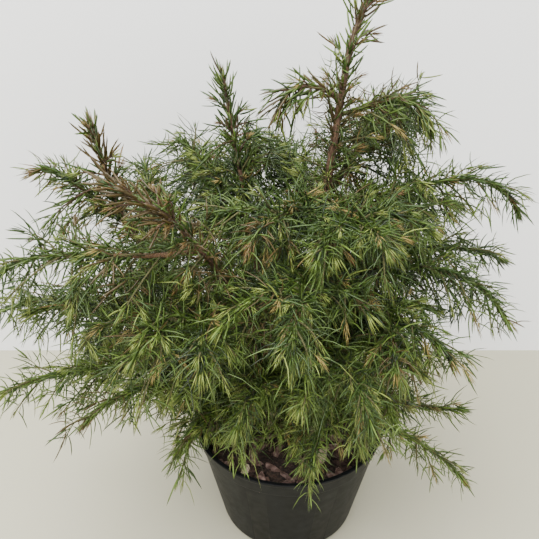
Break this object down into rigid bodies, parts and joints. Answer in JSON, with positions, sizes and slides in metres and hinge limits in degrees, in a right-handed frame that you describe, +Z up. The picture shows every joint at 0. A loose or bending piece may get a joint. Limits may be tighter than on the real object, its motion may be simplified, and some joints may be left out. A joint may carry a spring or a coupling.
{
  "type": "potted elegans japanese cedar",
  "caption": "Young multi-stemmed elegans japanese cedar with soft feathery juvenile foliage on spreading boughs, in a round black plastic nursery pot filled with soil.",
  "frame": {"origin": "centre of the pot's flat underside", "axes": "+Z up along the pot's axis; -Y is the side that the picture shows; +X to the right in the picture"},
  "size_m": [0.4409, 0.3798, 0.4764],
  "materials": {
    "pot": "matte black moulded plastic, lightly scuffed",
    "soil": "moist dark potting mix with bark chips",
    "bark": "thin reddish-brown bark, finely ridged",
    "foliage": "soft green needles, bronze and yellow-green at the tips"
  },
  "bodies": {
    "root": {"bough_left_2": "bark", "bough_left_3": "bark", "bough_left_4": "bark", "bough_left_5": "bark", "bough_left_6": "bark", "bough_right_2": "bark", "bough_right_3": "bark", "bough_right_4": "bark", "bough_right_5": "bark", "bough_right_6": "bark", "bough_right_7": "bark", "bough_right_8": "bark", "foliage_back_1": "foliage", "foliage_back_10": "foliage", "foliage_back_11": "foliage", "foliage_back_12": "foliage", "foliage_back_2": "foliage", "foliage_back_3": "foliage", "foliage_back_4": "foliage", "foliage_back_5": "foliage", "foliage_back_6": "foliage", "foliage_back_7": "foliage", "foliage_back_8": "foliage", "foliage_back_9": "foliage", "foliage_front_1": "foliage", "foliage_front_10": "foliage", "foliage_front_2": "foliage", "foliage_front_3": "foliage", "foliage_front_4": "foliage", "foliage_front_5": "foliage", "foliage_front_6": "foliage", "foliage_front_7": "foliage", "foliage_front_8": "foliage", "foliage_front_9": "foliage", "foliage_front_tip": "foliage", "foliage_leader": "foliage", "foliage_leader_left": "foliage", "foliage_left_1": "foliage", "foliage_left_2": "foliage", "foliage_left_3": "foliage", "foliage_left_4": "foliage", "foliage_left_5": "foliage", "foliage_left_6": "foliage", "foliage_left_7": "foliage", "foliage_left_tip": "foliage", "foliage_middle_tip": "foliage", "foliage_right_1": "foliage", "foliage_right_2": "foliage", "foliage_right_3": "foliage", "foliage_right_4": "foliage", "foliage_right_5": "foliage", "foliage_right_6": "foliage", "foliage_right_7": "foliage", "foliage_right_8": "foliage", "pot": "pot", "soil": "soil", "stem_front": "bark", "stem_left": "bark", "stem_middle": "bark", "trunk": "bark"}
  },
  "joints": []
}
